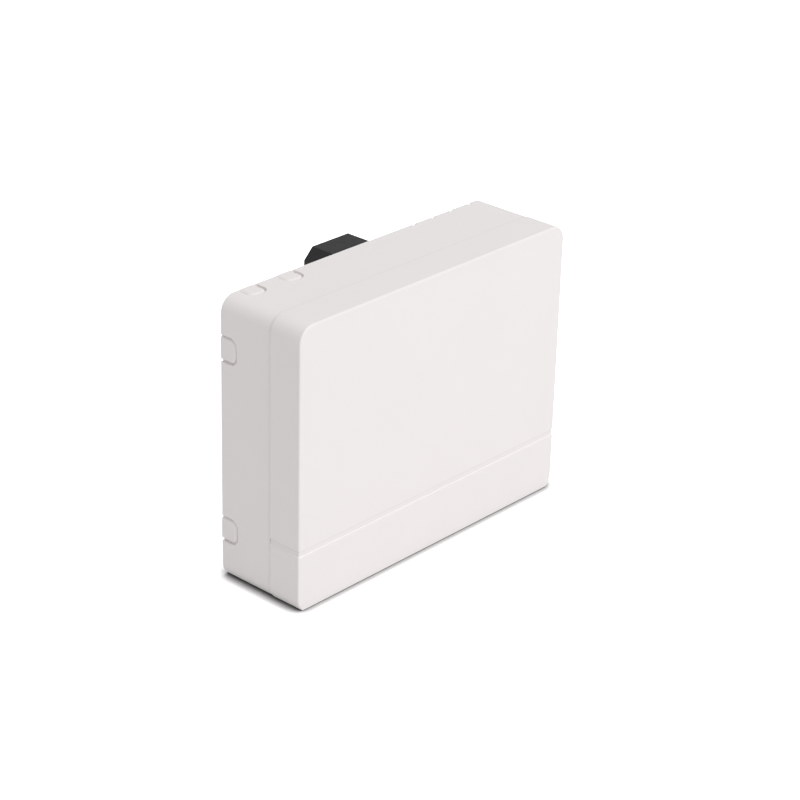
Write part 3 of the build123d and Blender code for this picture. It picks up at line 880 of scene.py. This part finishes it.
def softbox(name, place, target, size, power, colour=(1.0, 1.0, 1.0)):
    """A square area light at place that faces target."""
    lamp = bpy.data.lights.new(name, "AREA")
    lamp.color = colour
    lamp.shape = "SQUARE"
    lamp.size = size
    lamp.energy = power
    obj = bpy.data.objects.new(name, lamp)
    bpy.context.scene.collection.objects.link(obj)
    obj.location = place
    obj.rotation_euler = (Vector(target) - Vector(place)).to_track_quat("-Z", "Y").to_euler()
    return obj


def photo_camera(scene, values):
    """A camera turned round the middle of the housing's rear face."""
    back = Vector((math.sin(values.azimuth) * math.cos(values.elevation),
                   -math.cos(values.azimuth) * math.cos(values.elevation),
                   math.sin(values.elevation)))
    level = Vector((0.0, 0.0, 1.0)).cross(back).normalized()
    upright = back.cross(level)
    right = math.cos(values.roll) * level + math.sin(values.roll) * upright
    up = math.cos(values.roll) * upright - math.sin(values.roll) * level
    place = Vector((0.0, REAR_Y, values.aim_height))
    place += back * values.distance + right * values.aside + up * values.lift
    camera = bpy.data.cameras.new("photo_camera")
    camera.sensor_width = SENSOR_WIDTH
    camera.lens = values.lens
    camera.clip_end = VIEW_END
    obj = bpy.data.objects.new("photo_camera", camera)
    scene.collection.objects.link(obj)
    turn = Matrix((right, up, back)).transposed().to_4x4()
    obj.matrix_world = Matrix.Translation(place) @ turn
    scene.camera = obj


class FIBREBOX_OT_studio(bpy.types.Operator):
    """Set the pale floor, the soft light and the camera"""

    bl_idname = "fibrebox.studio"
    bl_label = "Set studio"

    def execute(self, context):
        scene = context.scene
        values = scene.fibrebox_studio
        scene.view_settings.view_transform = "Standard"
        mesh = bpy.data.meshes.new("studio_floor")
        mesh.from_pydata([(-FLOOR_HALF, -FLOOR_HALF, 0.0), (FLOOR_HALF, -FLOOR_HALF, 0.0),
                          (FLOOR_HALF, FLOOR_HALF, 0.0), (-FLOOR_HALF, FLOOR_HALF, 0.0)],
                         [], [(0, 1, 2, 3)])
        floor = bpy.data.objects.new("studio_floor", mesh)
        scene.collection.objects.link(floor)
        mesh.materials.append(floor_material(values.shade_reach, values.shade_depth))
        studio_world(scene, values.ambient, values.ambient_colour)
        middle = Vector((0.0, 0.0, values.aim_height))
        key_place = middle + Vector(KEY_WAY).normalized() * LAMP_DISTANCE
        fill_place = middle + Vector(FILL_WAY).normalized() * LAMP_DISTANCE
        softbox("key_softbox", key_place, middle, LAMP_SIZE, values.key, values.key_colour)
        softbox("fill_softbox", fill_place, middle, LAMP_SIZE, values.fill)
        photo_camera(scene, values)
        return {"FINISHED"}


OPERATORS = (
    FIBREBOX_OT_housing,
    FIBREBOX_OT_clip,
    FIBREBOX_OT_spring,
    FIBREBOX_OT_screws,
    FIBREBOX_OT_adapters,
    FIBREBOX_OT_inner_parts,
    FIBREBOX_OT_studio,
)

GROUPS = (
    ("fibrebox_housing", HousingFinish),
    ("fibrebox_clip", ClipFinish),
    ("fibrebox_spring", SpringShape),
    ("fibrebox_screws", ScrewShape),
    ("fibrebox_studio", StudioValues),
)


class FIBREBOX_PT_panel(bpy.types.Panel):
    """Lists the values and steps of the fibre box"""

    bl_idname = "FIBREBOX_PT_panel"
    bl_label = "Fibre Box"
    bl_space_type = "VIEW_3D"
    bl_region_type = "UI"
    bl_category = "Fibre Box"

    def draw(self, context):
        for name, group in GROUPS:
            column = self.layout.column(align=True)
            for value in group.__annotations__:
                column.prop(getattr(context.scene, name), value)
        for operator in OPERATORS:
            self.layout.operator(operator.bl_idname)


CLASSES = tuple(group for _, group in GROUPS) + OPERATORS + (FIBREBOX_PT_panel,)


def register():
    for item in CLASSES:
        bpy.utils.register_class(item)
    for name, group in GROUPS:
        setattr(bpy.types.Scene, name, PointerProperty(type=group))


def unregister():
    for name, _ in GROUPS:
        delattr(bpy.types.Scene, name)
    for item in reversed(CLASSES):
        bpy.utils.unregister_class(item)


def main():
    register()
    bpy.ops.fibrebox.housing()
    bpy.ops.fibrebox.clip()
    bpy.ops.fibrebox.spring()
    bpy.ops.fibrebox.screws()
    bpy.ops.fibrebox.adapters()
    bpy.ops.fibrebox.inner_parts()
    bpy.ops.fibrebox.studio()


if __name__ == "__main__":
    main()
